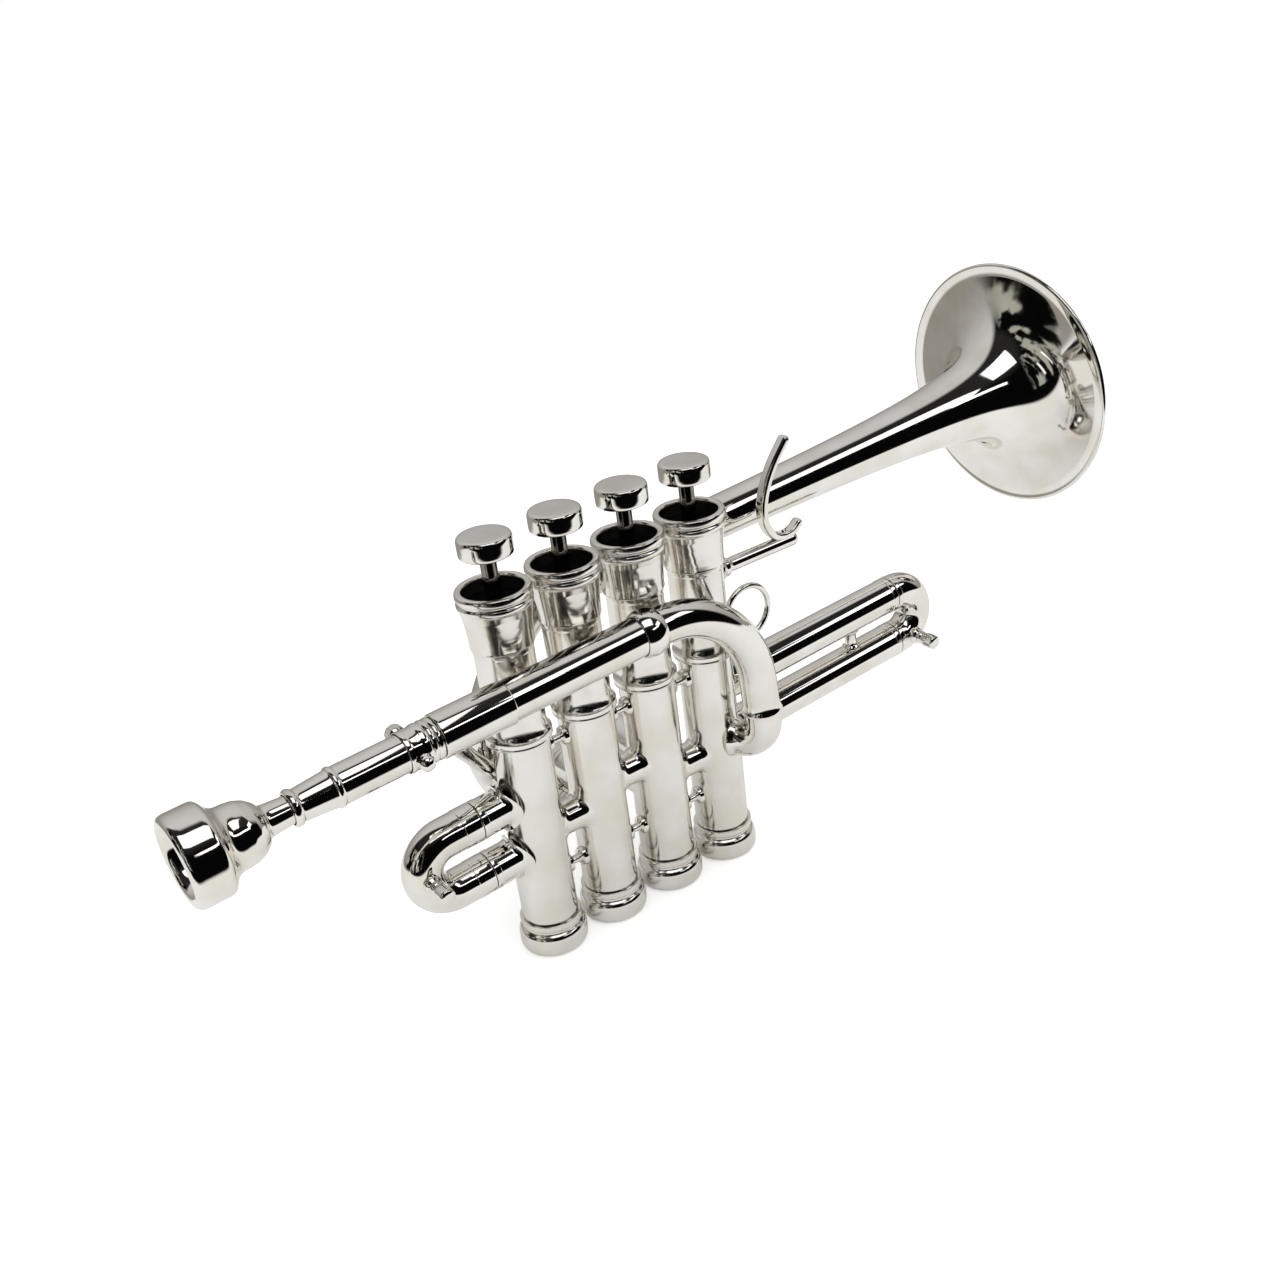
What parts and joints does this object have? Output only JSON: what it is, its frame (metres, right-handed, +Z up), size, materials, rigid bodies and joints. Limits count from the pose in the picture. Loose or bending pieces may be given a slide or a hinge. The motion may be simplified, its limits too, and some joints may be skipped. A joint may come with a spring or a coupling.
{
  "type": "piccolo trumpet",
  "caption": "Silver-plated piccolo trumpet with piston valves in a row, bent leadpipe, small bell, valve slides, finger hook and ring, standing on its bottom caps.",
  "frame": {"origin": "under the first valve, on its axis, in the plane of the bottom caps that the instrument stands on", "axes": "+X along the row of valves from the mouthpiece towards the bell, +Z up along the valves towards the finger buttons, -Y towards the leadpipe"},
  "size_m": [0.3764, 0.1017, 0.1742],
  "materials": {
    "silver_plate": "polished silver plate over brass",
    "piston_metal": "ground nickel alloy",
    "spring_steel": "drawn spring wire",
    "black_felt": "dense black wool felt"
  },
  "bodies": {
    "instrument": {"casing_1": "silver_plate", "casing_2": "silver_plate", "casing_3": "silver_plate", "casing_4": "silver_plate", "top_cap_1": "silver_plate", "top_cap_2": "silver_plate", "top_cap_3": "silver_plate", "top_cap_4": "silver_plate", "bottom_cap_1": "silver_plate", "bottom_cap_2": "silver_plate", "bottom_cap_3": "silver_plate", "bottom_cap_4": "silver_plate", "knuckle_1_2": "silver_plate", "upper_brace_1_2": "silver_plate", "lower_brace_1_2": "silver_plate", "knuckle_2_3": "silver_plate", "upper_brace_2_3": "silver_plate", "lower_brace_2_3": "silver_plate", "knuckle_3_4": "silver_plate", "upper_brace_3_4": "silver_plate", "lower_brace_3_4": "silver_plate", "leadpipe_clamp": "silver_plate", "leadpipe_sleeve": "silver_plate", "ball_ferrule": "silver_plate", "leadpipe_crook": "silver_plate", "bell": "silver_plate", "bell_tail": "silver_plate", "tail_brace": "silver_plate", "bell_brace_3": "silver_plate", "bell_brace_4": "silver_plate", "leadpipe_brace": "silver_plate", "slide_1_stub_upper": "silver_plate", "slide_1_stub_lower": "silver_plate", "slide_4_tubes": "silver_plate", "finger_hook": "silver_plate", "finger_ring": "silver_plate", "felt_1": "black_felt", "felt_2": "black_felt", "felt_3": "black_felt", "felt_4": "black_felt", "spring_1": "spring_steel", "spring_2": "spring_steel", "spring_3": "spring_steel", "spring_4": "spring_steel"},
    "valve_1": {"piston_1": "piston_metal", "finger_button_1": "silver_plate"},
    "valve_2": {"piston_2": "piston_metal", "finger_button_2": "silver_plate"},
    "valve_3": {"piston_3": "piston_metal", "finger_button_3": "silver_plate"},
    "valve_4": {"piston_4": "piston_metal", "finger_button_4": "silver_plate"},
    "tuning_pipe": {"leadpipe": "silver_plate"},
    "mouthpiece_body": {"mouthpiece": "silver_plate"},
    "clamp_screw_body": {"clamp_screw": "silver_plate"},
    "slide_1_body": {"slide_1": "silver_plate"},
    "slide_2_body": {"slide_2": "silver_plate"},
    "slide_3_body": {"slide_3": "silver_plate"},
    "slide_4_body": {"slide_4": "silver_plate"}
  },
  "joints": [
    {"name": "valve_1_press", "type": "slide", "parent": "instrument", "child": "valve_1", "axis": [0, 0, -1], "range_m": [0, 0.014], "stiffness_N_per_m": 150, "springref_m": -0.02, "deforming": ["spring_1"]},
    {"name": "valve_2_press", "type": "slide", "parent": "instrument", "child": "valve_2", "axis": [0, 0, -1], "range_m": [0, 0.014], "stiffness_N_per_m": 150, "springref_m": -0.02, "deforming": ["spring_2"]},
    {"name": "valve_3_press", "type": "slide", "parent": "instrument", "child": "valve_3", "axis": [0, 0, -1], "range_m": [0, 0.014], "stiffness_N_per_m": 150, "springref_m": -0.02, "deforming": ["spring_3"]},
    {"name": "valve_4_press", "type": "slide", "parent": "instrument", "child": "valve_4", "axis": [0, 0, -1], "range_m": [0, 0.014], "stiffness_N_per_m": 150, "springref_m": -0.02, "deforming": ["spring_4"]},
    {"name": "leadpipe_tuning", "type": "slide", "parent": "instrument", "child": "tuning_pipe", "axis": [-0.9989, 0, -0.0459], "range_m": [-0.02, 0.025]},
    {"name": "mouthpiece_pull", "type": "slide", "parent": "tuning_pipe", "child": "mouthpiece_body", "axis": [-0.9989, 0, -0.0459], "range_m": [0, 0.024]},
    {"name": "clamp_screw_turn", "type": "hinge", "parent": "instrument", "child": "clamp_screw_body", "pos_m": [-0.04395, -0.0186, 0.10458], "axis": [0, 1, 0], "range_deg": [-180, 180]},
    {"name": "slide_1_pull", "type": "slide", "parent": "instrument", "child": "slide_1_body", "axis": [-0.9989, 0, -0.0459], "range_m": [0, 0.008]},
    {"name": "slide_2_pull", "type": "slide", "parent": "instrument", "child": "slide_2_body", "axis": [0, 1, 0], "range_m": [0, 0.005]},
    {"name": "slide_3_pull", "type": "slide", "parent": "instrument", "child": "slide_3_body", "axis": [0, 1, 0], "range_m": [0, 0.012]},
    {"name": "slide_4_pull", "type": "slide", "parent": "instrument", "child": "slide_4_body", "axis": [0.9989, 0, 0.0459], "range_m": [0, 0.045]}
  ]
}
